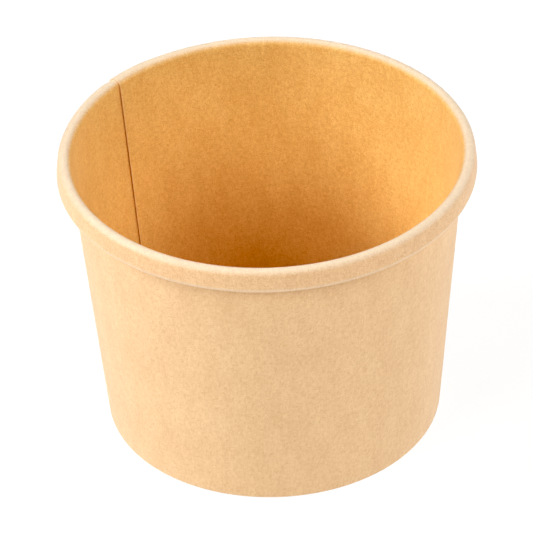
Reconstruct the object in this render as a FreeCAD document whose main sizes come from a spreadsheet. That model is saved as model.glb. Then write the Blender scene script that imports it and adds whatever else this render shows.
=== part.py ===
import FreeCAD, Part
import math
import os
import Sketcher

# Paper ice cream tub
#
# A tub of two pieces of coated kraft board. The side wall is one fan-shaped blank,
# wrapped into a cone and sealed where its ends lap. Its top edge is curled outwards
# into a flattened roll, and its foot is folded in and up as a hem. The bottom is a
# disc with a turned-down skirt, and the skirt is held between the wall and the hem.
#
# Millimetres. The origin is the centre of the foot, +Z points up, and angles round
# the tub are counted from +X towards +Y.

# Driving dimensions

SIZES = (
    ("rim_diameter", "98.0", "widest part of the rolled rim"),
    ("tub_height", "72.0", "foot to the top of the roll"),
    ("base_diameter", "80.0", "outside of the wall, carried down to the foot"),
    ("roll_overhang", "3.35", "how far the roll stands out from the wall"),
    ("roll_depth", "5.8", "height of the roll"),
    ("band_angle", "6.5", "flare of the roll's flattened outer side, degrees"),
    ("roll_gap", "0.45", "room between the roll's tail and the wall"),
    ("tail_length", "1.2", "straight end of the blank, up inside the roll"),
    ("board", "0.4", "thickness of the wall's board"),
    ("fold_chamfer", "0.35", "how far the foot's fold is rounded off"),
    ("seam_angle", "138.8", "cut edge of the inner end of the blank, degrees"),
    ("lap_angle", "11.2", "how far the two ends of the blank lap, degrees"),
    ("ramp_angle", "4.0", "where the outer ply comes down beside the lap, degrees"),
    ("floor_board", "0.4", "thickness of the bottom's board"),
    ("floor_height", "7.0", "foot to the upper face of the bottom"),
    ("floor_bend", "0.5", "inner radius between the bottom and its skirt"),
    ("seal_gap", "0.05", "coating between the skirt and the boards beside it"),
    ("skirt_gap", "0.3", "skirt's lower end to the foot's fold"),
    ("hem_gap", "0.2", "hem's upper end to the bottom's bend"),
)

# Values worked out from the driving dimensions
#
# The line of the wall runs from base_diameter at the foot to the foot of the roll.
# The roll's turn is the round that touches the widest circle, the roll's lowest
# plane and the tail. Its crown is the round that touches the wall, the rim's top
# plane and the flattened side. Both come from two distances that are linear in the
# round's radius. A centre has two values, one out from the axis and one up.

WORKED = (
    ("neck_height", "=Sizes.tub_height - Sizes.roll_depth"),
    ("neck_radius", "=Sizes.rim_diameter / 2 - Sizes.roll_overhang"),
    ("base_radius", "=Sizes.base_diameter / 2"),
    ("taper", "=atan((neck_radius - base_radius) / neck_height)"),
    ("lean_out", "=sin(taper)"),
    ("lean_up", "=cos(taper)"),
    ("flare_out", "=sin(Sizes.band_angle * 1 deg)"),
    ("flare_up", "=cos(Sizes.band_angle * 1 deg)"),
    ("turn_room", "=(Sizes.rim_diameter / 2 - base_radius) * lean_up"
                  " - neck_height * lean_out - Sizes.roll_gap"),
    ("turn_radius", "=turn_room / (1 + lean_up + lean_out)"),
    ("turn_out", "=Sizes.rim_diameter / 2 - turn_radius"),
    ("turn_up", "=neck_height + turn_radius"),
    ("inner_reach", "=base_radius * lean_up + Sizes.tub_height * lean_out - Sizes.board"),
    ("outer_reach", "=turn_out * flare_up + turn_radius"
                    " - (Sizes.tub_height - turn_up) * flare_out"),
    ("reach_sum", "=lean_up * (1 - flare_out) + flare_up * (1 - lean_out)"),
    ("crown_radius", "=(outer_reach * lean_up - inner_reach * flare_up) / reach_sum"),
    ("crown_out", "=(inner_reach * (1 - flare_out) + outer_reach * (1 - lean_out))"
                  " / reach_sum"),
    ("crown_up", "=Sizes.tub_height - crown_radius"),
    ("channel", "=Sizes.floor_board + 2 * Sizes.seal_gap"),
    ("bend_radius", "=Sizes.floor_bend + Sizes.floor_board"),
    ("bend_up", "=Sizes.floor_height - bend_radius"),
    ("bend_out", "=base_radius + (bend_up * lean_out - bend_radius - Sizes.seal_gap"
                 " - Sizes.board) / lean_up"),
    ("hem_top", "=bend_up - Sizes.hem_gap"),
    ("skirt_foot", "=2 * Sizes.board + Sizes.skirt_gap"),
)

# Every round of the board is drawn as a few flats along an arc, so that so thin a
# sheet doesn't break up into very many small faces. What shows has the finer ones.

FLATS = {"coated face": 6, "plain face": 3, "bottom's bend": 3}

# Ends of a line or an arc, and a sketch's own axes, as its constraints count them

START, END, CENTRE = range(1, 4)
X_AXIS, Y_AXIS = -1, -2


def write_sheet(doc, name, rows):
    sheet = doc.addObject("Spreadsheet::Sheet", name)
    for row, entry in enumerate(rows, start=1):
        sheet.set(f"A{row}", entry[0])
        sheet.set(f"B{row}", entry[1])
        sheet.setAlias(f"B{row}", entry[0])
        if len(entry) > 2:
            sheet.set(f"C{row}", entry[2])
    doc.recompute()
    return sheet


def values_of(*sheets_and_rows):
    """Each named value of the sheets as a plain number; angles are in degrees."""
    values = {}
    for sheet, rows in sheets_and_rows:
        for entry in rows:
            value = sheet.get(entry[0])
            values[entry[0]] = float(getattr(value, "Value", value))
    return values


def origin_feature(body, role):
    for feature in body.Origin.OriginFeatures:
        if feature.Role == role:
            return feature
    raise RuntimeError(f"{body.Label} has no {role}")


def add_body(doc, label):
    body = doc.addObject("PartDesign::Body", label)
    body.Label = label
    body.Placement = FreeCAD.Placement()
    return body


def point(out, up):
    return FreeCAD.Vector(out, up, 0)


def on_arc(centre, radius, angle):
    return centre + radius * point(math.cos(angle), math.sin(angle))


class Section:
    """A sketch in the plane that holds the tub's axis and stands at an angle round it.

    Its own X runs outwards from the axis and its own Y runs up.
    """

    def __init__(self, body, name, turn, turn_text):
        self.sketch = body.newObject("Sketcher::SketchObject", name)
        self.sketch.AttachmentSupport = (origin_feature(body, "XZ_Plane"), [""])
        self.sketch.MapMode = "FlatFace"
        if turn_text:
            spin = FreeCAD.Rotation(FreeCAD.Vector(0, 1, 0), turn)
            self.sketch.AttachmentOffset = FreeCAD.Placement(FreeCAD.Vector(), spin)
            self.sketch.setExpression("AttachmentOffset.Rotation.Angle", turn_text)

    def line(self, start, end):
        return self.sketch.addGeometry(Part.LineSegment(start, end), False)

    def chain(self, points):
        """Lines from point to point, joined end to end."""
        lines = [self.line(a, b) for a, b in zip(points, points[1:])]
        for before, after in zip(lines, lines[1:]):
            self.hold("Coincident", before, END, after, START)
        return lines

    def round(self, centre, radius, start, end, flats):
        """An arc, counted anticlockwise, and the flats with their corners on it."""
        circle = Part.Circle(centre, FreeCAD.Vector(0, 0, 1), radius)
        arc = self.sketch.addGeometry(Part.ArcOfCircle(circle, start, end), True)
        step = (end - start) / flats
        lines = self.chain([on_arc(centre, radius, start + step * i) for i in range(flats + 1)])
        self.hold("Coincident", lines[0], START, arc, START)
        self.hold("Coincident", lines[-1], END, arc, END)
        for before, after in zip(lines, lines[1:]):
            self.hold("PointOnObject", before, END, arc)
            self.hold("Equal", before, after)
        return arc

    def hold(self, kind, *refs):
        self.sketch.addConstraint(Sketcher.Constraint(kind, *refs))

    def drive(self, name, kind, refs, value, text):
        """A dimension of the sketch, bound to the sheets by an expression."""
        index = self.sketch.addConstraint(Sketcher.Constraint(kind, *refs, value))
        self.sketch.renameConstraint(index, name)
        self.sketch.setExpression(f"Constraints.{name}", text)

    def drive_centre(self, name, arc, centre, out_text, up_text):
        refs = (X_AXIS, START, arc, CENTRE)
        self.drive(f"{name}_out", "DistanceX", refs, centre.x, out_text)
        self.drive(f"{name}_up", "DistanceY", refs, centre.y, up_text)


# Section of the board
#
# A section has two faces: the coated one, which is the inside of the tub and the
# outside of the roll, and the plain one. Each face runs from the hem's upper end
# round the foot, up the wall, over the crown, down the flattened side, round the
# turn and up the tail. Its depth is counted in boards from the coated face of a
# single ply. The foot stays in its plane, however many boards lie there.

def add_face(section, v, name, ply, plies_below, is_coated):
    """One face of the board, as the indices of its lines and arcs."""
    taper = math.radians(v["taper"])
    flare = math.radians(v["band_angle"])
    along = point(math.sin(taper), math.cos(taper))
    crown = point(v["crown_out"], v["crown_up"])
    turned = point(v["turn_out"], v["turn_up"])
    depth = ply * v["board"]
    crown_radius = v["crown_radius"] - depth
    turn_radius = v["turn_radius"] - depth
    flats = FLATS["coated face" if is_coated else "plain face"]
    land = plies_below * v["board"]
    chamfer = v["fold_chamfer"]
    width = v["channel"] + 2 * depth
    wall_top = on_arc(crown, crown_radius, math.pi - taper)
    tail_foot = on_arc(turned, turn_radius, math.pi - taper)

    def on_wall(up):
        return wall_top + along * ((up - wall_top.y) / along.y)

    def on_hem(up):
        return on_wall(up) - point(width / along.y, 0)

    if is_coated:
        foot = [on_hem(land), on_wall(land)]
    else:
        corners = [on_hem(chamfer), on_wall(chamfer)]
        foot = [corners[0], corners[0] + point(chamfer, -chamfer),
                corners[1] - point(chamfer, chamfer), corners[1]]
    lines = section.chain([on_hem(v["hem_top"])] + foot + [wall_top])
    face = {"hem": lines[0], "land": lines[len(lines) // 2], "wall": lines[-1]}
    face["crown"] = section.round(crown, crown_radius, flare, math.pi - taper, flats)
    face["turn"] = section.round(
        turned, turn_radius, math.pi - taper, 2 * math.pi + flare, flats)
    face["band"] = section.line(
        on_arc(crown, crown_radius, flare), on_arc(turned, turn_radius, flare))
    face["tail"] = section.line(tail_foot, tail_foot + along * v["tail_length"])

    section.hold("Tangent", face["wall"], END, face["crown"], END)
    section.hold("Tangent", face["crown"], START, face["band"], START)
    section.hold("Tangent", face["band"], END, face["turn"], END)
    section.hold("Tangent", face["turn"], START, face["tail"], START)
    section.hold("Parallel", face["hem"], face["wall"])
    section.hold("Parallel", face["tail"], face["wall"])
    section.hold("Horizontal", face["land"])
    if is_coated:
        section.drive("land_up", "DistanceY", (X_AXIS, START, face["land"], START),
                      land, f"{plies_below} * Sizes.board")
    else:
        section.hold("PointOnObject", face["land"], START, X_AXIS)
        section.hold("Angle", lines[1], -math.pi / 4)
        section.hold("Angle", lines[3], math.pi / 4)
        section.drive("inner_chamfer", "DistanceY", (lines[1], END, lines[1], START),
                      chamfer, "Sizes.fold_chamfer")
        section.drive("outer_chamfer", "DistanceY", (lines[3], START, lines[3], END),
                      chamfer, "Sizes.fold_chamfer")
    section.drive(f"{name}_crown", "Radius", (face["crown"],), crown_radius,
                  f"Worked.crown_radius - {ply} * Sizes.board")
    section.drive(f"{name}_turn", "Radius", (face["turn"],), turn_radius,
                  f"Worked.turn_radius - {ply} * Sizes.board")
    section.drive(f"{name}_width", "Distance", (face["hem"], START, face["wall"]), width,
                  f"Worked.channel + {2 * ply} * Sizes.board")
    return face


def board_section(body, v, name, turn, turn_text, coated_ply, plain_ply):
    section = Section(body, name, turn, turn_text)
    coated = add_face(section, v, "coated", coated_ply, plain_ply - coated_ply, True)
    plain = add_face(section, v, "plain", plain_ply, 0, False)
    for end, line, side in (("hem", "hem", START), ("tail", "tail", END)):
        cap = section.line(section.sketch.getPoint(coated[line], side),
                           section.sketch.getPoint(plain[line], side))
        section.hold("Coincident", cap, START, coated[line], side)
        section.hold("Coincident", cap, END, plain[line], side)
        section.hold("Perpendicular", cap, coated[line])
    section.hold("Parallel", coated["wall"], plain["wall"])
    for part in ("crown", "turn"):
        section.hold("Coincident", coated[part], CENTRE, plain[part], CENTRE)
        centre = point(v[f"{part}_out"], v[f"{part}_up"])
        section.drive_centre(
            part, coated[part], centre, f"Worked.{part}_out", f"Worked.{part}_up")
    section.drive("slope", "Angle", (coated["wall"],), math.radians(90 - v["taper"]),
                  "90 deg - Worked.taper")
    section.drive("hem_top", "DistanceY", (X_AXIS, START, plain["hem"], START),
                  v["hem_top"], "Worked.hem_top")
    section.drive("tail_length", "Distance", (coated["tail"],),
                  v["tail_length"], "Sizes.tail_length")
    return section.sketch


def revolve(doc, body, name, sketch, angle, angle_text):
    turn = body.newObject("PartDesign::Revolution", name)
    turn.Profile = sketch
    turn.ReferenceAxis = (origin_feature(body, "Z_Axis"), [""])
    turn.Angle = angle
    if angle_text:
        turn.setExpression("Angle", angle_text)
    doc.recompute()
    return turn


# Side wall
#
# One ply goes nearly all the way round. Over the lap there are two. Just past the
# cut edge of the inner end, the outer ply comes down beside it on a short ramp,
# which leaves the fine groove that the seam shows inside the tub.

def make_side_wall(doc, v):
    body = add_body(doc, "side_wall")
    seam, lap, ramp = v["seam_angle"], v["lap_angle"], v["ramp_angle"]
    single = board_section(body, v, "single_ply", seam + ramp,
                           "(Sizes.seam_angle + Sizes.ramp_angle) * 1 deg", 0, 1)
    revolve(doc, body, "wrap", single, 360 - lap - ramp,
            "(360 - Sizes.lap_angle - Sizes.ramp_angle) * 1 deg")
    double = board_section(body, v, "double_ply", seam - lap,
                           "(Sizes.seam_angle - Sizes.lap_angle) * 1 deg", 0, 2)
    revolve(doc, body, "lap", double, lap, "Sizes.lap_angle * 1 deg")
    outer = board_section(body, v, "outer_ply", seam, "Sizes.seam_angle * 1 deg", 1, 2)
    ramped = body.newObject("PartDesign::AdditiveLoft", "ramp")
    ramped.Profile = outer
    ramped.Sections = [single]
    ramped.Ruled = True
    doc.recompute()
    body.Tip = ramped
    return body


# Bottom
#
# A flat disc whose edge is turned down as a skirt. The skirt follows the wall's
# slope between the wall and the hem, with the coating's thickness on either side.

def make_bottom_disc(doc, v):
    body = add_body(doc, "bottom_disc")
    taper = math.radians(v["taper"])
    along = point(math.sin(taper), math.cos(taper))
    bend = point(v["bend_out"], v["bend_up"])
    top = v["floor_height"]
    under = top - v["floor_board"]
    outer_top = on_arc(bend, v["bend_radius"], -taper)
    inner_top = on_arc(bend, v["floor_bend"], -taper)
    fall = along * ((outer_top.y - v["skirt_foot"]) / along.y)
    section = Section(body, "disc_and_skirt", 0, "")
    upper = section.line(point(0, top), point(bend.x, top))
    flats = FLATS["bottom's bend"]
    outer_bend = section.round(bend, v["bend_radius"], -taper, math.pi / 2, flats)
    skirt, lip, back = section.chain(
        [outer_top, outer_top - fall, inner_top - fall, inner_top])
    inner_bend = section.round(bend, v["floor_bend"], -taper, math.pi / 2, flats)
    lower, axis = section.chain([point(bend.x, under), point(0, under), point(0, top)])
    section.hold("Coincident", axis, END, upper, START)
    section.hold("Tangent", upper, END, outer_bend, END)
    section.hold("Tangent", outer_bend, START, skirt, START)
    section.hold("Tangent", back, END, inner_bend, START)
    section.hold("Tangent", inner_bend, END, lower, START)
    section.hold("Coincident", outer_bend, CENTRE, inner_bend, CENTRE)
    section.hold("Horizontal", upper)
    section.hold("Horizontal", lower)
    section.hold("Perpendicular", lip, skirt)
    section.hold("Parallel", back, skirt)
    section.hold("PointOnObject", upper, START, Y_AXIS)
    section.hold("PointOnObject", lower, END, Y_AXIS)
    section.drive_centre("bend", outer_bend, bend, "Worked.bend_out", "Worked.bend_up")
    section.drive("outer_radius", "Radius", (outer_bend,), v["bend_radius"],
                  "Worked.bend_radius")
    section.drive("inner_radius", "Radius", (inner_bend,), v["floor_bend"],
                  "Sizes.floor_bend")
    section.drive("skirt_foot", "DistanceY", (X_AXIS, START, skirt, END),
                  v["skirt_foot"], "Worked.skirt_foot")
    section.drive("slope", "Angle", (back,), math.pi / 2 - taper, "90 deg - Worked.taper")
    body.Tip = revolve(doc, body, "turned_disc", section.sketch, 360, "")
    return body


def check(doc):
    for thing in doc.Objects:
        if "Invalid" in thing.State or "Error" in thing.State:
            raise RuntimeError(f"{thing.Label} failed: {thing.State}")


def main():
    doc = FreeCAD.newDocument("PaperTub")
    sizes = write_sheet(doc, "Sizes", SIZES)
    worked = write_sheet(doc, "Worked", WORKED)
    values = values_of((sizes, SIZES), (worked, WORKED))
    pieces = [make_side_wall(doc, values), make_bottom_disc(doc, values)]
    doc.recompute()
    check(doc)
    for body in pieces:
        shape = body.Shape
        if shape.isNull() or not shape.isValid() or len(shape.Solids) != 1:
            raise RuntimeError(f"{body.Label} is not one sound solid")
    os.makedirs("parts", exist_ok=True)
    for body in pieces:
        box = body.Shape.optimalBoundingBox(True, False)
        print(f"{body.Label}: {body.Shape.Volume:.1f} mm3, {len(body.Shape.Faces)} faces,"
              f" {box.XLength:.2f} x {box.YLength:.2f} x {box.ZLength:.2f} mm")
        body.Shape.exportStep(f"parts/{body.Label}.step")


main()
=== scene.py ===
# %% [markdown]
# Paper ice cream tub
#
# This lesson dresses a small round tub of kraft board. The real thing is two pieces.
# The side wall is one fan-shaped blank, wrapped into a cone so that its ends lap in a
# seam. Its top edge is curled outwards into a flattened roll, and its foot is folded
# in and up as a hem. The bottom is a disc with a turned-down skirt, held in that hem.
#
# The imported model gives the place and size of everything, in metres. It could be
# dressed by hand, with its sizes typed in, but then a change there would go unseen
# here. So it is loaded first, and its box gives the tub's height, rim and bottom.

# %% Load the frame
import math

import bpy
from mathutils import Matrix, Vector


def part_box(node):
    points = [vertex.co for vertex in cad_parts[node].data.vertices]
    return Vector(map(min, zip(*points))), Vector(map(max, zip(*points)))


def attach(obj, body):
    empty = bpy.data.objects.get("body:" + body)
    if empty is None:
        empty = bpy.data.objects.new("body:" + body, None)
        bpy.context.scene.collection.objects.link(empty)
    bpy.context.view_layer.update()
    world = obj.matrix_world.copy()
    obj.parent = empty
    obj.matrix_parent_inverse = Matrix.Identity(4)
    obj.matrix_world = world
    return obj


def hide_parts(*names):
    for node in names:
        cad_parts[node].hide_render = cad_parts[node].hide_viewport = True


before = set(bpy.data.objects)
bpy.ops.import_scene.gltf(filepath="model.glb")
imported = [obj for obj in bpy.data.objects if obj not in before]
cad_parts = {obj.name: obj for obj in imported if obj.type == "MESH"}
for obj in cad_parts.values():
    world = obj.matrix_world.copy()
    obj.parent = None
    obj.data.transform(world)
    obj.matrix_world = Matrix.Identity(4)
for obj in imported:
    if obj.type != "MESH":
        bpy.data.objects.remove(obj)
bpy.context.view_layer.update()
wall_low, wall_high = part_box("side_wall")
bottom_low, bottom_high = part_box("bottom_disc")

# %% [markdown]
# Sizes
#
# A tub maker thinks in millimetres, so the sizes are written that way, and one
# factor turns them into metres. What the frame knows is read from it: how high the
# tub stands, how wide its rim is and where the bottom lies. The rest are the maker's
# own sizes of the board and of its roll.

# %% Sizes of the tub
MM = 0.001
TUB_HEIGHT = wall_high.z
RIM_RADIUS = min(wall_high.x, wall_high.y, -wall_low.x, -wall_low.y)
FLOOR_HEIGHT = bottom_high.z
SKIRT_FOOT = bottom_low.z
BASE_RADIUS = 40.0 * MM
ROLL_OVERHANG = 3.35 * MM
ROLL_DEPTH = 5.8 * MM
ROLL_GAP = 0.45 * MM
TAIL_LENGTH = 1.2 * MM
BAND_FLARE = math.radians(6.5)
BOARD = 0.4 * MM
COATING_GAP = 0.05 * MM
FLOOR_BEND = 0.5 * MM
HEM_GAP = 0.2 * MM
SEAM_ANGLE = math.radians(138.8)
LAP_ANGLE = math.radians(11.2)
RAMP_ANGLE = math.radians(4.0)
print(f"rim {RIM_RADIUS / MM:.2f} mm out, {TUB_HEIGHT / MM:.2f} mm up")

# %% [markdown]
# The section of the board
#
# Cut the tub in half and the board shows as one thin line: hem, folded foot, wall,
# crown, flattened band, turn and tail. It could be drawn as a curve and given a
# thickness by a modifier, but that rounds off the tight folds and knows nothing of a
# lap. So the line is worked out once, as stations along the coated face, and each
# station knows the direction in which the board's thickness lies. Straight runs need
# few stations, and bends need many.

# %% A station and the two kinds of run
class Station:
    def __init__(self, place, depth):
        self.place = Vector(place)
        self.depth = Vector(depth)


def heading(angle):
    return Vector((math.cos(angle), math.sin(angle)))


def straight(start, end, depth, steps):
    """Stations after start, up to end, along a flat run of the board."""
    return [Station(start.lerp(end, (i + 1) / steps), depth) for i in range(steps)]


def bend(centre, radius, start, end, side, steps):
    """Stations after start round a bend; side is -1 where the coated face is outside."""
    angles = [start + (end - start) * (i + 1) / steps for i in range(steps)]
    return [Station(centre + radius * heading(a), side * heading(a)) for a in angles]


# %% [markdown]
# The rim of a tub is a roll: a curling tool turns the board's edge outwards, and a
# second tool flattens its side, so that a lid can grip under it. Two rounds hold its
# shape. The round of the crown touches the wall, the top of the rim and the flattened
# side, and the round of the turn touches the widest circle, the lowest line of the
# roll and the tail. They could be set by eye, but a few lines of trigonometry find
# both, and keep every run smooth where it meets the next.

# %% Rounds of the roll
neck_height = TUB_HEIGHT - ROLL_DEPTH
neck_radius = RIM_RADIUS - ROLL_OVERHANG
taper = math.atan((neck_radius - BASE_RADIUS) / neck_height)
lean = Vector((math.sin(taper), math.cos(taper)))
flare = Vector((math.sin(BAND_FLARE), math.cos(BAND_FLARE)))
outwards = Vector((lean.y, -lean.x))

turn_room = (RIM_RADIUS - BASE_RADIUS) * lean.y - neck_height * lean.x - ROLL_GAP
turn_radius = turn_room / (1 + lean.x + lean.y)
turn_centre = Vector((RIM_RADIUS - turn_radius, neck_height + turn_radius))

inner_reach = BASE_RADIUS * lean.y + TUB_HEIGHT * lean.x - BOARD
outer_reach = turn_centre.x * flare.y + turn_radius - (TUB_HEIGHT - turn_centre.y) * flare.x
reach_sum = lean.y * (1 - flare.x) + flare.y * (1 - lean.x)
crown_radius = (outer_reach * lean.y - inner_reach * flare.y) / reach_sum
crown_out = (inner_reach * (1 - flare.x) + outer_reach * (1 - lean.x)) / reach_sum
crown_centre = Vector((crown_out, TUB_HEIGHT - crown_radius))
print(f"taper {math.degrees(taper):.2f} degrees, crown {crown_radius / MM:.2f} mm,"
      f" turn {turn_radius / MM:.2f} mm")

# %% [markdown]
# The foot is folded in and up again as a hem, and the bottom's skirt is sealed between
# the hem and the wall. A right-angled fold would be easier to draw, but board can't
# make one. The round of the fold leaves just enough room for the skirt and a seal on
# each of its sides. The bottom's own bend is placed here too, close against the wall.

# %% Rounds of the foot
channel = BOARD + 2 * COATING_GAP
fold_radius = channel / 2
fold_up = BOARD + fold_radius
wall_top = crown_centre - crown_radius * outwards


def on_wall(up):
    """The point of the wall's coated face at this height."""
    return wall_top + lean * ((up - wall_top.y) / lean.y)


fold_centre = on_wall(fold_up) - fold_radius * outwards
fold_centre.y = fold_up
bend_outer = FLOOR_BEND + BOARD
bend_up = FLOOR_HEIGHT - bend_outer
bend_centre = on_wall(bend_up) - (bend_outer + COATING_GAP) * outwards
bend_centre.y = bend_up
hem_top = bend_up - HEM_GAP
print(f"fold of the foot {fold_radius / MM:.2f} mm, hem up to {hem_top / MM:.2f} mm")

# %% [markdown]
# With the rounds known, the whole section can be laid down in order, from the end of
# the hem to the tail inside the roll. It could be one long list of points, but then
# nothing would say which of them belong together. So each run keeps its name, and
# starts where the run before it ends.

# %% Stations of the side wall
wall_foot = fold_centre + fold_radius * outwards
hem_foot = fold_centre - fold_radius * outwards
hem_end = hem_foot + lean * ((hem_top - hem_foot.y) / lean.y)
band_top = crown_centre + crown_radius * heading(BAND_FLARE)
band_foot = turn_centre + turn_radius * heading(BAND_FLARE)
tail_foot = turn_centre - turn_radius * outwards
FULL_TURN = 2 * math.pi

runs = {
    "hem": [Station(hem_end, -outwards)] + straight(hem_end, hem_foot, -outwards, steps=6),
    "fold": bend(fold_centre, fold_radius, math.pi - taper, FULL_TURN - taper,
                 side=1, steps=10),
    "wall": straight(wall_foot, wall_top, outwards, steps=28),
    "crown": bend(crown_centre, crown_radius, math.pi - taper, BAND_FLARE,
                  side=-1, steps=16),
    "band": straight(band_top, band_foot, -heading(BAND_FLARE), steps=4),
    "turn": bend(turn_centre, turn_radius, BAND_FLARE, -math.pi - taper,
                 side=-1, steps=18),
    "tail": straight(tail_foot, tail_foot + lean * TAIL_LENGTH, outwards, steps=3),
}
print({name: len(stations) for name, stations in runs.items()})

# %% [markdown]
# A real tub isn't a perfect turned shape. The foot lifts a little where two plies lie
# on each other. The hem is knurled by the tool that presses it to the skirt. The wall
# wanders a few hundredths of a millimetre, and the roll bulges at the seam. The crown
# and the roll's lowest fold are painted paler, a painted highlight. Each of these could
# be painted or sculpted by hand. Here stations carry weights from nothing to one
# instead, which the wrapping rule and the finishes read later, so every one of them can
# be changed by a number.

# %% Rises and humps
def rise(x, start, end):
    """Nothing before start, one after end, and a smooth rise between them."""
    share = min(max((x - start) / (end - start), 0.0), 1.0)
    return share * share * (3 - 2 * share)


def hump(x, start, top, top_end, end):
    """A rise from start to top, and a fall from the top's end to the end."""
    return rise(x, start, top) * (1 - rise(x, top_end, end))


print("halfway up a rise:", rise(0.5, 0.0, 1.0))

# %% Weights of the stations
LIFT_FADES_AT = 9 * MM
FREE_FROM, FREE_AT = 9 * MM, 30 * MM
CROWN_TURNS_OUT = (0.05, 0.5)
# Where the painted highlight rises and falls along the crown and the roll's lowest fold, and its
# strength on the fold.
CROWN_HIGHLIGHT_SPAN = (0.15, 0.4, 0.6, 1.0)
FOLD_HIGHLIGHT_SPAN = (0.0, 0.1, 0.2, 0.4)
FOLD_HIGHLIGHT_STRENGTH = 0.4


def worn(name, share):
    """Weight of the painted highlight: a paler colour on the crown and the roll's lowest fold."""
    if name == "crown":
        return hump(share, *CROWN_HIGHLIGHT_SPAN)
    if name == "turn":
        return FOLD_HIGHLIGHT_STRENGTH * hump(share, *FOLD_HIGHLIGHT_SPAN)
    return 0.0


def past_wall(name, on_crown):
    """Nothing up to the wall's top, its own value on the crown, and one after it."""
    return {"hem": 0.0, "fold": 0.0, "wall": 0.0, "crown": on_crown}.get(name, 1.0)


def weigh(name, share, station):
    """Weights of a station that lies this share of the way along its run."""
    up = station.place.y
    return {
        "lift": share if name == "hem" else 1 - rise(up, 0.0, LIFT_FADES_AT),
        "knurl": math.sin(math.pi * share) if name == "hem" else 0.0,
        "free": rise(up, FREE_FROM, FREE_AT),
        "roll": past_wall(name, rise(share, 0.0, 1.0)),
        "outside": past_wall(name, rise(share, *CROWN_TURNS_OUT)),
        "worn": worn(name, share),
    }


# %% [markdown]
# The stations are Python's so far, and a tree of nodes can't read them. They could be
# written into the tree one by one, which nobody could read again. A mesh is the simple
# way: each station becomes a point, and what it knows becomes an attribute of it.

# %% The section as a mesh
def section_mesh(name, runs):
    """The stations as a chain of edges, with their depth, run and weights."""
    stations, weights, lengths = [], [], [0.0]
    for run_name, run in runs.items():
        for i, station in enumerate(run):
            if stations:
                lengths.append(lengths[-1] + (station.place - stations[-1].place).length)
            stations.append(station)
            weights.append(weigh(run_name, (i + 1) / len(run), station))
    mesh = bpy.data.meshes.new(name)
    points = [(s.place.x, 0, s.place.y) for s in stations]
    mesh.from_pydata(points, [(i, i + 1) for i in range(len(points) - 1)], [])
    depth = mesh.attributes.new("depth", "FLOAT_VECTOR", "POINT")
    depth.data.foreach_set("vector", [x for s in stations for x in (s.depth.x, 0, s.depth.y)])
    columns = {key: [w[key] for w in weights] for key in weights[0]}
    for key, values in {"run": lengths, **columns}.items():
        mesh.attributes.new(key, "FLOAT", "POINT").data.foreach_set("value", values)
    print(f"{name}: {len(points)} stations, {lengths[-1] / MM:.1f} mm of board")
    return mesh


# %% [markdown]
# Writing nodes as expressions
#
# A material and a geometry rule are both trees of nodes. Clicked together by hand
# they are quick to make and slow to read, and a script that adds them one by one
# hides its sums in long lists of links. Here a small class wraps an output of a node,
# so that sums and products of outputs are written like any other arithmetic, and a
# desk adds every other kind of node.

# %% A wire and a desk
class Wire:
    """One output of a node. Arithmetic on it adds the nodes for that arithmetic."""

    def __init__(self, desk, socket):
        self.desk = desk
        self.socket = socket

    def out(self, name):
        return Wire(self.desk, self.socket.node.outputs[name])

    def __add__(self, other):
        return self.desk.maths("ADD", self, other)

    def __radd__(self, other):
        return self.desk.maths("ADD", other, self)

    def __sub__(self, other):
        return self.desk.maths("SUBTRACT", self, other)

    def __rsub__(self, other):
        return self.desk.maths("SUBTRACT", other, self)

    def __mul__(self, other):
        return self.desk.maths("MULTIPLY", self, other)

    def __truediv__(self, other):
        return self.desk.maths("DIVIDE", self, other)

    def __mod__(self, other):
        return self.desk.maths("MODULO", self, other)

    def __gt__(self, other):
        return self.desk.maths("GREATER_THAN", self, other)


def is_vector(value):
    if isinstance(value, Wire):
        return value.socket.type == "VECTOR"
    return isinstance(value, tuple)


class Desk:
    """Adds nodes to one tree."""

    def __init__(self, tree):
        self.tree = tree

    def add(self, kind, settings=None, sockets=None, output=0):
        """A node: its settings first, then its sockets by name or number."""
        node = self.tree.nodes.new(kind)
        for name, value in (settings or {}).items():
            setattr(node, name, value)
        for name, value in (sockets or {}).items():
            for each in value if isinstance(value, list) else [value]:
                if isinstance(each, Wire):
                    self.tree.links.new(each.socket, node.inputs[name])
                else:
                    node.inputs[name].default_value = each
        return Wire(self, node.outputs[output]) if node.outputs else node

    def maths(self, operation, *values):
        if not any(is_vector(value) for value in values):
            return self.add("ShaderNodeMath", {"operation": operation}, dict(enumerate(values)))
        if operation == "MULTIPLY" and not all(is_vector(value) for value in values):
            vector, number = sorted(values, key=is_vector, reverse=True)
            return self.add("ShaderNodeVectorMath", {"operation": "SCALE"},
                            {0: vector, "Scale": number})
        return self.add("ShaderNodeVectorMath", {"operation": operation},
                        dict(enumerate(values)))

    def rise(self, value, start, end):
        """Nothing before start, one after end, and a smooth rise between them."""
        return self.add("ShaderNodeMapRange", {"interpolation_type": "SMOOTHSTEP"},
                        {"Value": value, "From Min": start, "From Max": end})

    def hump(self, value, start, top, top_end, end):
        """A rise from start to top, and a fall from the top's end to the end."""
        return self.rise(value, start, top) * (1.0 - self.rise(value, top_end, end))

    def noise(self, vector, scale, detail, roughness=0.5):
        return self.add("ShaderNodeTexNoise", {"noise_dimensions": "3D"},
                        {"Vector": vector, "Scale": scale, "Detail": detail,
                         "Roughness": roughness})

    def turned(self, vector, angle):
        return self.add("ShaderNodeVectorRotate", {"rotation_type": "Z_AXIS"},
                        {"Vector": vector, "Angle": angle})

    def mix(self, share, first, second):
        """Two colours, by share from the first to the second."""
        return self.add("ShaderNodeMix", {"data_type": "RGBA"},
                        {0: share, 6: first, 7: second}, output=2)


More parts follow.
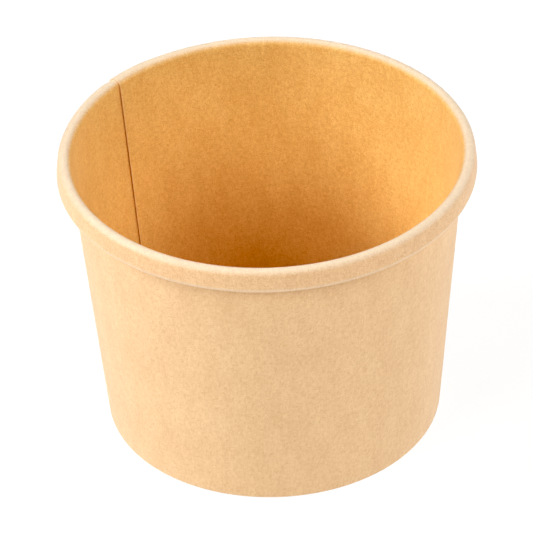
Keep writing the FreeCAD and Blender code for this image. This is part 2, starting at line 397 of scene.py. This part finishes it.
# %% [markdown]
# The wrapping rule
#
# Both pieces are a section carried round the axis. A Screw modifier would do that,
# but it can't lap one ply over the other as a real seam does. So one rule in Geometry
# Nodes makes both. A grid has one column for each step round the tub and one row for
# each station. Every point of the grid looks its station up, takes its place from it
# and is turned round the axis. Past a full turn the board goes on as the outer ply:
# it ramps out by one board and lies on the ply below. At last the sheet is thickened
# along each station's depth, and its three kinds of surface get their finishes.

# %% Named inputs of the rule
WRAP_INPUTS = (
    ("Steps", "NodeSocketInt"),
    ("Start", "NodeSocketFloat"),
    ("Sweep", "NodeSocketFloat"),
    ("Ramp", "NodeSocketFloat"),
    ("Lap", "NodeSocketFloat"),
    ("Board", "NodeSocketFloat"),
    ("Ply gap", "NodeSocketFloat"),
    ("Slope", "NodeSocketFloat"),
    ("Knurls", "NodeSocketFloat"),
    ("Knurl depth", "NodeSocketFloat"),
    ("Wander", "NodeSocketFloat"),
    ("Bulge", "NodeSocketFloat"),
    ("Blank radius", "NodeSocketFloat"),
    ("Coated finish", "NodeSocketMaterial"),
    ("Plain finish", "NodeSocketMaterial"),
    ("Cut finish", "NodeSocketMaterial"),
)
WELD = 0.001 * MM
CREASE = math.radians(55)
BULGE_BEFORE = (math.radians(-29), math.radians(-5))
BULGE_AFTER = (math.radians(4), math.radians(39))
LAP_EASE = math.radians(6)
WANDER_SCALE = 2.2
WANDER_SEED = 7.0
SIDES_APART = 0.05
print(len(WRAP_INPUTS), "named inputs, besides the section")

# %% Where each point of the sheet goes
def stations_of(desk, section, row):
    """A function that looks a value up at a point's own station."""
    def at_station(name, kind="FLOAT"):
        if name == "position":
            source = desk.add("GeometryNodeInputPosition")
        else:
            source = desk.add("GeometryNodeInputNamedAttribute", {"data_type": kind},
                              {"Name": name})
        return desk.add("GeometryNodeSampleIndex", {"data_type": kind, "domain": "POINT"},
                        {"Geometry": section, "Value": source, "Index": row})
    return at_station


def along(desk, out, up):
    return desk.add("ShaderNodeCombineXYZ", {}, {"X": out, "Z": up})


def placed_sheet(desk, given):
    """The grid with each point in its place, before it has any thickness."""
    section = given["Section"]
    rows = desk.add("GeometryNodeAttributeDomainSize", {}, {"Geometry": section})
    grid = desk.add("GeometryNodeMeshGrid", {},
                    {"Vertices X": given["Steps"] + 1, "Vertices Y": rows})
    index = desk.add("GeometryNodeInputIndex")
    at_station = stations_of(desk, section, index % rows)
    column = desk.maths("FLOOR", (index + 0.5) / rows)
    round_by = column / given["Steps"] * given["Sweep"]
    angle = given["Start"] - round_by
    past_seam = (round_by + math.pi) % FULL_TURN - math.pi

    laps = given["Sweep"] > FULL_TURN + LAP_EASE
    outer_ply = laps * desk.rise(round_by, FULL_TURN - given["Ramp"], FULL_TURN)
    depth = at_station("depth", "FLOAT_VECTOR")
    sunk = depth * (outer_ply * (given["Board"] + given["Ply gap"]))
    lap_ends = (given["Lap"], given["Lap"] + LAP_EASE)
    two_plies = desk.hump(past_seam, 0.0 - given["Ramp"], 0.0, *lap_ends)
    lifted = laps * two_plies * (given["Board"] + given["Ply gap"]) * at_station("lift")
    swell = (desk.hump(past_seam, *BULGE_BEFORE, *BULGE_AFTER)
             + desk.hump(past_seam, -LAP_EASE, 0.0, *lap_ends))
    ridge = desk.maths("COSINE", angle * given["Knurls"]) * 0.5 + 0.5

    place = at_station("position", "FLOAT_VECTOR")
    up = desk.add("ShaderNodeSeparateXYZ", {}, {"Vector": place}).out("Z")
    about = along(desk, 1.0, up / given["Blank radius"] + WANDER_SEED)
    wander = desk.noise(desk.turned(about, angle), WANDER_SCALE, 1.0) * at_station("free")
    moved_out = (given["Bulge"] * swell * at_station("roll")
                 - given["Wander"] * wander
                 - given["Knurl depth"] * ridge * at_station("knurl"))
    slide = along(desk, desk.maths("SINE", given["Slope"]) * lifted + moved_out,
                  desk.maths("COSINE", given["Slope"]) * lifted)
    sheet = desk.add("GeometryNodeSetPosition", {},
                     {"Geometry": grid, "Position": desk.turned(place + sunk + slide, angle)})
    blank = desk.add("ShaderNodeCombineXYZ", {},
                     {"X": round_by * given["Blank radius"], "Y": at_station("run")})
    kept = (
        ("thickness", "FLOAT_VECTOR", desk.turned(depth * given["Board"], angle)),
        ("blank", "FLOAT_VECTOR", blank),
        ("outside", "FLOAT", at_station("outside")),
        ("worn", "FLOAT", at_station("worn")),
    )
    for name, kind, value in kept:
        sheet = desk.add("GeometryNodeStoreNamedAttribute",
                         {"data_type": kind, "domain": "POINT"},
                         {"Geometry": sheet, "Name": name, "Value": value})
    return desk.add("GeometryNodeMergeByDistance", {}, {"Geometry": sheet, "Distance": WELD})


# %% [markdown]
# Board is a solid with two faces and a cut edge all round. A Solidify modifier guesses
# the direction of its thickness from the faces near a point, which goes wrong in the
# folded foot. Here the faces are extruded in place, and the new layer is moved by one
# board along each point's own depth. The first layer closes the solid from below, so
# the two are joined and welded, with every face pointing out of the board.

# %% Thickness and finishes
def named(desk, name, kind="FLOAT_VECTOR"):
    return desk.add("GeometryNodeInputNamedAttribute", {"data_type": kind}, {"Name": name})


def thickened(desk, given, sheet):
    raised = desk.add("GeometryNodeExtrudeMesh", {"mode": "FACES"},
                      {"Mesh": sheet, "Offset Scale": 0.0, "Individual": False})
    plain, cut = raised.out("Top"), raised.out("Side")
    layer = desk.add("GeometryNodeSetPosition", {},
                     {"Geometry": raised, "Selection": plain,
                      "Offset": named(desk, "thickness")})
    layer = desk.add("GeometryNodeStoreNamedAttribute",
                     {"data_type": "FLOAT_VECTOR", "domain": "POINT"},
                     {"Geometry": layer, "Selection": plain, "Name": "blank",
                      "Value": named(desk, "blank") + (0.0, 0.0, SIDES_APART)})
    layer = desk.add("GeometryNodeFlipFaces", {}, {"Mesh": layer})
    both = desk.add("GeometryNodeJoinGeometry", {}, {"Geometry": [layer, sheet]})
    solid = desk.add("GeometryNodeMergeByDistance", {}, {"Geometry": both, "Distance": WELD})
    solid = desk.add("GeometryNodeSetShadeSmooth", {"domain": "FACE"}, {"Geometry": solid})
    steep = desk.add("GeometryNodeInputMeshEdgeAngle") > CREASE
    solid = desk.add("GeometryNodeSetShadeSmooth", {"domain": "EDGE"},
                     {"Geometry": solid, "Selection": steep, "Shade Smooth": False})
    solid = desk.add("GeometryNodeRealizeInstances", {}, {"Geometry": solid})
    for finish, where in (("Coated finish", True), ("Plain finish", plain), ("Cut finish", cut)):
        solid = desk.add("GeometryNodeSetMaterial", {},
                         {"Geometry": solid, "Selection": where, "Material": given[finish]})
    return solid


def wrapping_rule():
    tree = bpy.data.node_groups.new("wrap the board", "GeometryNodeTree")
    tree.is_modifier = True
    tree.interface.new_socket("Section", in_out="INPUT", socket_type="NodeSocketGeometry")
    for name, kind in WRAP_INPUTS:
        tree.interface.new_socket(name, in_out="INPUT", socket_type=kind)
    tree.interface.new_socket("Board", in_out="OUTPUT", socket_type="NodeSocketGeometry")
    desk = Desk(tree)
    source = tree.nodes.new("NodeGroupInput")
    given = {socket.name: Wire(desk, socket) for socket in source.outputs if socket.name}
    solid = thickened(desk, given, placed_sheet(desk, given))
    desk.add("NodeGroupOutput", {}, {"Board": solid})
    return tree


rule = wrapping_rule()
print(f"the wrapping rule has {len(rule.nodes)} nodes")

# %% [markdown]
# Finishes of the board
#
# Kraft board is never one flat colour. Its pulp lies in soft clouds, the machine
# leaves faint streaks along the board, long fibres show as fine pale and dark
# strokes, and a few dark specks of bark are left in. Outside the board is plain and
# dull. Inside it has a thin clear coating, which makes it deeper in colour and a
# little glossy, and which turns out over the rim with the roll. Inside the tub that
# coated face is painted deeper and more saturated than on the roll, partly its own
# colour and partly painted shade of the hollow. A picture of paper could be laid on
# it, but it would blur up close and repeat. So the pattern is worked out from noise,
# and laid out on the flat blank: it follows the board round the tub and stops at the
# seam, as it does on the real one.

# %% Colours
def srgb(red, green, blue):
    """A colour as a screen counts it, turned into the light that Blender counts."""
    def linear(value):
        share = value / 255
        return share / 12.92 if share <= 0.04045 else ((share + 0.055) / 1.055) ** 2.4
    return (linear(red), linear(green), linear(blue), 1.0)


WHITE = srgb(255, 255, 255)
PLAIN_PALE, PLAIN_DEEP = srgb(244, 206, 156), srgb(224, 178, 128)
# The coated face in two tones: paler on the roll, deeper inside, partly the coating's own colour
# and partly painted shade of the hollow.
ROLL_PALE, ROLL_DEEP = srgb(243, 203, 154), srgb(223, 175, 125)
# Colours of the painted highlight on the crown and the roll's lowest fold.
HIGHLIGHT_PALE, HIGHLIGHT_DEEP = srgb(248, 225, 194), srgb(235, 208, 174)
COATED_PALE, COATED_DEEP = srgb(252, 210, 129), srgb(228, 171, 89)
# The cut edge in a darker brown: partly the raw board's own colour, partly painted shade of the
# seam's groove.
CUT_PALE, CUT_DEEP = srgb(232, 172, 104), srgb(198, 136, 76)
print("plain board, as light:", [round(value, 2) for value in PLAIN_PALE[:3]])

# %% [markdown]
# The pattern of the pulp
#
# Look closely at the board and four things show: soft clouds and mottling, streaks
# along the machine's run, curled fibres in every direction, and dark specks. One noise
# for all of them looks like fog. So each has its own, stretched in its own way and with
# its own number of spots in a millimetre, and their sum says how pale the board is.

# %% The pulp as noise
PATTERNS = {
    "cloud": {"stretch": (1.3, 0.55, 1.0), "scale": 0.16, "detail": 3.0, "pales": 0.8},
    "mottle": {"stretch": (1.0, 1.0, 1.0), "scale": 0.9, "detail": 2.0, "pales": 0.9},
    "streak": {"stretch": (2.4, 0.45, 1.0), "scale": 1.0, "detail": 2.0, "pales": 0.7},
}
PATTERN_ROUGHNESS = 0.6
FINE_SCALE, FINE_DETAIL, FINE_ROUGHNESS = 2.8, 3.0, 0.75
FIBRE_LAYS = (math.radians(12), math.radians(-38), math.radians(71), math.radians(-80))
FIBRE_STRETCH = (0.5, 4.2, 1.0)
FIBRE_CURL = 1.2
FIBRES_APART = 9.0
FIBRE_EDGE = (0.66, 0.76)
PALE_FIBRE, DARK_FIBRE = 0.24, -0.48
SPECK_SCALE, SPECK_EDGE, SPECK_DARKENS = 1.5, (0.74, 0.78), 0.8
RELIEF_SCALE, RELIEF_DETAIL, FIBRE_STANDS = 4.5, 3.0, 0.8333


def attribute(desk, name, output="Fac"):
    return desk.add("ShaderNodeAttribute", {"attribute_name": name}, {}, output)


def fibres_of(desk, spot, mottle):
    """Curled strokes in four directions, every other one dark."""
    curled = spot + mottle * FIBRE_CURL * (1.0, -1.0, 0.0)
    fibres = 0.0
    for i, lay in enumerate(FIBRE_LAYS):
        strokes = desk.turned(curled + (0.0, 0.0, FIBRES_APART * i), lay) * FIBRE_STRETCH
        strokes = desk.rise(desk.noise(strokes, 1.0, 0.0), *FIBRE_EDGE)
        fibres = strokes * (PALE_FIBRE if i % 2 else DARK_FIBRE) + fibres
    return fibres


def pulp(desk, grain):
    """How pale the board is at each place, about a half, and how far it stands up."""
    spot = attribute(desk, "blank", "Vector") * (1 / MM)
    noises = {name: desk.noise(spot * pattern["stretch"], pattern["scale"], pattern["detail"],
                               PATTERN_ROUGHNESS) - 0.5
              for name, pattern in PATTERNS.items()}
    fine = desk.noise(spot, FINE_SCALE, FINE_DETAIL, FINE_ROUGHNESS) - 0.5
    fibres = fibres_of(desk, spot, noises["mottle"])
    specks = desk.rise(desk.noise(spot, SPECK_SCALE, 0.0), *SPECK_EDGE)
    pale = 0.5 + fine * grain + fibres - specks * SPECK_DARKENS
    for name, pattern in PATTERNS.items():
        pale = pale + noises[name] * pattern["pales"]
    relief = desk.noise(spot, RELIEF_SCALE, RELIEF_DETAIL, PATTERN_ROUGHNESS)
    height = relief + fibres * FIBRE_STANDS + noises["mottle"] + fine
    return desk.maths("MINIMUM", desk.maths("MAXIMUM", pale, 0.0), 1.0), height


print(len(PATTERNS), "patterns, a fine grain, specks and fibres in", len(FIBRE_LAYS), "lays")

# %% [markdown]
# Three finishes
#
# Outside, the board is bare: rough, with a soft sheen from its fibres. Inside it has
# its coating, and so has the roll, which is the same face turned out. The roll is
# painted nearly as pale as outside, and the inside deeper, partly the coating's colour
# and partly painted shade of the hollow. The crown and the roll's lowest fold are
# paler still, a painted highlight. The cut edge shows the layers of the board, in a
# darker brown that is partly its own colour and partly painted shade of the seam's
# groove. One material with masks could hold all three, but three short ones are easier
# to read, and each face of the mesh names its own.

# %% From a pattern to a surface
BUMP_STRENGTH = 0.5
SHEEN_SPREAD = 0.5


def finish(name):
    material = bpy.data.materials.new(name)
    material.use_nodes = True
    material.node_tree.nodes.clear()
    return material, Desk(material.node_tree)


def surface(desk, colour, roughness, height, relief, specular, sheen=0.0):
    """The shader of a finish; relief is how far its height stands up, in metres."""
    bump = desk.add("ShaderNodeBump", {},
                    {"Strength": BUMP_STRENGTH, "Distance": relief, "Height": height})
    shader = desk.add("ShaderNodeBsdfPrincipled", {},
                      {"Base Color": colour, "Roughness": roughness, "Normal": bump,
                       "Specular IOR Level": specular, "Sheen Weight": sheen,
                       "Sheen Roughness": SHEEN_SPREAD})
    desk.add("ShaderNodeOutputMaterial", {}, {"Surface": shader})


# %% The three finishes
PLAIN_GRAIN, COATED_GRAIN = 1.5, 2.8
# Width and strength of a painted highlight: a pale line on the coated face along the seam's cut
# edge.
EDGE_HIGHLIGHT_WIDTH = (0.1 * MM, 0.4 * MM)
EDGE_HIGHLIGHT_STRENGTH = 0.35
PLAIN_ROUGHNESS, PALE_SMOOTHS = 0.9, 0.12
COATED_ROUGHNESS, PALE_ROUGHENS = 0.42, 0.14
CUT_ROUGHNESS = 0.95
PLAIN_RELIEF, COATED_RELIEF, CUT_RELIEF = 0.03 * MM, 0.012 * MM, 0.05 * MM
LAYER_SCALE, LAYER_DETAIL, LAYER_ROUGHNESS = 2.5, 3.0, 0.7


def plain_board():
    material, desk = finish("kraft_plain")
    pale, height = pulp(desk, PLAIN_GRAIN)
    colour = desk.mix(pale, PLAIN_DEEP, PLAIN_PALE)
    roughness = PLAIN_ROUGHNESS - pale * PALE_SMOOTHS
    surface(desk, colour, roughness, height, PLAIN_RELIEF, specular=0.3, sheen=0.3)
    return material


def coated_board():
    material, desk = finish("kraft_coated")
    pale, height = pulp(desk, COATED_GRAIN)
    inner = desk.mix(pale, COATED_DEEP, COATED_PALE)
    roll = desk.mix(pale, ROLL_DEEP, ROLL_PALE)
    highlight_colour = desk.mix(pale, HIGHLIGHT_DEEP, HIGHLIGHT_PALE)
    # Painted highlight: the coated face turns paler within a fraction of a millimetre of the
    # seam's cut edge, where the edge catches light.
    blank = attribute(desk, "blank", "Vector")
    from_cut = desk.add("ShaderNodeSeparateXYZ", {}, {"Vector": blank}).out("X")
    corner = (1.0 - desk.rise(from_cut, *EDGE_HIGHLIGHT_WIDTH)) * EDGE_HIGHLIGHT_STRENGTH
    inner = desk.mix(corner, inner, HIGHLIGHT_PALE)
    # From the inside tone to the roll tone across the crown; the inside's deeper tone is partly
    # painted shade.
    board = desk.mix(attribute(desk, "outside"), inner, roll)
    # Painted highlight: the crown and the roll's lowest fold turn paler.
    colour = desk.mix(attribute(desk, "worn"), board, highlight_colour)
    roughness = COATED_ROUGHNESS + pale * PALE_ROUGHENS
    surface(desk, colour, roughness, height, COATED_RELIEF, specular=0.4, sheen=0.2)
    return material


def cut_board():
    material, desk = finish("kraft_cut")
    place = desk.add("ShaderNodeTexCoord", {}, {}, "Object") * (1 / MM)
    layers = desk.noise(place, LAYER_SCALE, LAYER_DETAIL, LAYER_ROUGHNESS)
    edge = desk.mix(layers, CUT_DEEP, CUT_PALE)
    # On the roll the cut face takes the pale colour of the painted highlight, so the seam's line
    # fades over the crown.
    colour = desk.mix(attribute(desk, "outside"), edge, HIGHLIGHT_DEEP)
    surface(desk, colour, CUT_ROUGHNESS, layers, CUT_RELIEF, specular=0.2)
    return material


finishes = {"Coated finish": coated_board(), "Plain finish": plain_board(),
            "Cut finish": cut_board()}
print({key: len(material.node_tree.nodes) for key, material in finishes.items()})

# %% [markdown]
# From the rule to a piece
#
# The section is given to a new object, the rule is put on it as a modifier, and the
# result is read back as a plain mesh. The modifier could stay, but other programs
# can't run it. So once it has done its work it goes, and what is left is an ordinary
# piece that any program can read.

# %% Wrap a section
def wrapped(name, section, inputs):
    piece = bpy.data.objects.new(name, section)
    bpy.context.scene.collection.objects.link(piece)
    modifier = piece.modifiers.new("wrap the board", "NODES")
    modifier.node_group = rule
    sockets = {item.name: item.identifier for item in rule.interface.items_tree
               if item.in_out == "INPUT"}
    for key, value in {**inputs, **finishes}.items():
        modifier[sockets[key]] = value
    graph = bpy.context.evaluated_depsgraph_get()
    mesh = bpy.data.meshes.new_from_object(piece.evaluated_get(graph), depsgraph=graph)
    for slot in reversed([i for i, material in enumerate(mesh.materials) if material is None]):
        mesh.materials.pop(index=slot)
    piece.modifiers.clear()
    piece.data = mesh
    corners = [Vector(corner) / MM for corner in piece.bound_box]
    low, high = corners[0], corners[6]
    print(f"{name}: {len(mesh.polygons)} faces, {len(mesh.materials)} finishes,"
          f" {[round(x, 2) for x in low]} to {[round(x, 2) for x in high]} mm")
    return piece


# %% [markdown]
# The side wall
#
# The wall is the fan-shaped blank. It could be cut flat and bent in a simulation of
# paper, but a former on the real machine leaves it no freedom, so the rule places it
# at once. It starts at the cut edge that shows inside the tub and goes round by a
# full turn and the lap. The plies don't quite touch, by the thickness of the seal.

# %% Side wall
wall = wrapped("kraft_wall", section_mesh("wall section", runs), {
    "Steps": 372,
    "Start": SEAM_ANGLE,
    "Sweep": FULL_TURN + LAP_ANGLE,
    "Ramp": RAMP_ANGLE,
    "Lap": LAP_ANGLE,
    "Board": BOARD,
    "Ply gap": 0.02 * MM,
    "Slope": taper,
    "Knurls": 90.0,
    "Knurl depth": 0.12 * MM,
    "Wander": 0.1 * MM,
    "Bulge": 0.24 * MM,
    "Blank radius": 45 * MM,
})

# %% [markdown]
# The bottom
#
# The bottom is drawn from flat board: a disc whose edge turns down as a skirt, which
# the hem grips. A filled circle would look the same from above, but from below the
# skirt and its bend show. So it is made by the same rule as the wall. It goes exactly
# once round, and the rule welds its ends together and closes the pole.

# %% Bottom disc
floor_edge = Vector((bend_centre.x, FLOOR_HEIGHT))
skirt_top = bend_centre + bend_outer * outwards
skirt_end = skirt_top - lean * ((skirt_top.y - SKIRT_FOOT) / lean.y)
down = Vector((0.0, -1.0))
floor_runs = {
    "disc": [Station((0.0, FLOOR_HEIGHT), down)]
            + straight(Vector((0.0, FLOOR_HEIGHT)), floor_edge, down, steps=14),
    "edge": bend(bend_centre, bend_outer, math.pi / 2, -taper, side=-1, steps=8),
    "skirt": straight(skirt_top, skirt_end, -outwards, steps=4),
}
bottom = wrapped("kraft_bottom", section_mesh("bottom section", floor_runs), {
    "Steps": 180,
    "Start": 0.0,
    "Sweep": FULL_TURN,
    "Ramp": RAMP_ANGLE,
    "Lap": 0.0,
    "Board": BOARD,
    "Ply gap": 0.0,
    "Slope": taper,
    "Knurls": 0.0,
    "Knurl depth": 0.0,
    "Wander": 0.0,
    "Bulge": 0.0,
    "Blank radius": 20 * MM,
})

# %% [markdown]
# Tie the pieces to the frame
#
# The imported solids are made of flats and have no pulp, so they could only be painted.
# Each piece here takes the place of its imported node instead, and rides on the tub's
# one body.

# %% Ride and replace
for piece, node, slot in ((wall, "side_wall", "wall_board"),
                          (bottom, "bottom_disc", "bottom_board")):
    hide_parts(node)
    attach(piece, "root")
    print(piece.name, "takes the place of", node)

# %% [markdown]
# The table
#
# A tub like this is photographed on a white table that has no edge in the picture and
# next to no shadow. A white board among lamps would still turn grey beside the tub, and
# lamps strong enough to stop that would wash out the board. So the table glows by
# itself, and gives back only a little of the light that falls on it.

# %% Floor
FLOOR_HALF = 1.5
TABLE_GREY = 0.15
TABLE_GLOW = 0.87
corners = [(x * FLOOR_HALF, y * FLOOR_HALF, 0.0) for x, y in ((-1, -1), (1, -1), (1, 1), (-1, 1))]
floor_mesh = bpy.data.meshes.new("floor")
floor_mesh.from_pydata(corners, [], [(0, 1, 2, 3)])
floor = bpy.data.objects.new("floor", floor_mesh)
bpy.context.scene.collection.objects.link(floor)
material, desk = finish("white_table")
shader = desk.add("ShaderNodeBsdfPrincipled", {},
                  {"Base Color": (TABLE_GREY, TABLE_GREY, TABLE_GREY, 1.0),
                   "Roughness": 0.9, "Emission Color": WHITE,
                   "Emission Strength": TABLE_GLOW})
desk.add("ShaderNodeOutputMaterial", {}, {"Surface": shader})
floor_mesh.materials.append(material)
print("table", 2 * FLOOR_HALF, "m wide")

# %% [markdown]
# The lamps
#
# Soft boxes stand round the tub, the strongest on the left, and weaker ones answer
# from the right and from behind. A picture of a studio wrapped round the sky could
# light it too, but lamps with a known place are easier to balance. Each is given by
# its bearing round the tub and its height, both in degrees, and its power in watts. A
# low black point deepens the shade inside, as the picture of a real camera has it.

# %% Lights
LOOK_AT = Vector((0.0, 0.0, 35 * MM))
LAMP_DISTANCE = 1.5
LAMP_SIZE = 0.6
LAMPS = (
    ("left", 180, 35, 14.4),
    ("left_front", 225, 35, 9.6),
    ("left_back", 135, 55, 3.8),
    ("right", 0, 35, 7.9),
    ("right_front", 315, 35, 6.8),
    ("right_back", 45, 15, 3.9),
)


def aimed(place, target):
    """A turn that points an object's own -Z from its place to the target."""
    return (target - place).to_track_quat("-Z", "Y").to_matrix().to_4x4()


for name, bearing, height, power in LAMPS:
    light = bpy.data.lights.new(name, "AREA")
    light.shape = "DISK"
    light.size = LAMP_SIZE
    light.energy = power
    lamp = bpy.data.objects.new(name, light)
    bpy.context.scene.collection.objects.link(lamp)
    level, up = math.radians(bearing), math.radians(height)
    away = Vector((math.cos(level) * math.cos(up), math.sin(level) * math.cos(up),
                   math.sin(up)))
    place = LOOK_AT + LAMP_DISTANCE * away
    lamp.matrix_world = Matrix.Translation(place) @ aimed(place, LOOK_AT)

SKY = 0.01
BLACK_POINT = 0.015
world = bpy.data.worlds.new("white sky")
world.use_nodes = True
background = world.node_tree.nodes["Background"]
background.inputs["Color"].default_value = WHITE
background.inputs["Strength"].default_value = SKY
bpy.context.scene.world = world
view = bpy.context.scene.view_settings
view.view_transform = "Standard"
view.use_curve_mapping = True
view.curve_mapping.black_level = (BLACK_POINT, BLACK_POINT, BLACK_POINT)
view.curve_mapping.update()
print(len(LAMPS), "lamps and a faint white sky")

# %% [markdown]
# The camera
#
# The rim looks hardly wider in front than behind, so the camera stands well back with
# a long lens. A near one would fill the picture too, but with the front of the rim too
# large. It looks down at about 36 degrees and is tilted by a hair.

# %% Camera
EYE = Vector((0.0, -781.5, 613.0)) * MM
AIM = Vector((-0.9, 0.0, 38.1)) * MM
ROLL = math.radians(-1.96)
LENS = 276.5
lens = bpy.data.cameras.new("camera")
lens.lens = LENS
camera = bpy.data.objects.new("camera", lens)
bpy.context.scene.collection.objects.link(camera)
camera.matrix_world = (Matrix.Translation(EYE) @ aimed(EYE, AIM)
                       @ Matrix.Rotation(ROLL, 4, "Z"))
bpy.context.scene.camera = camera
print(f"camera {(EYE - AIM).length / MM:.0f} mm away")
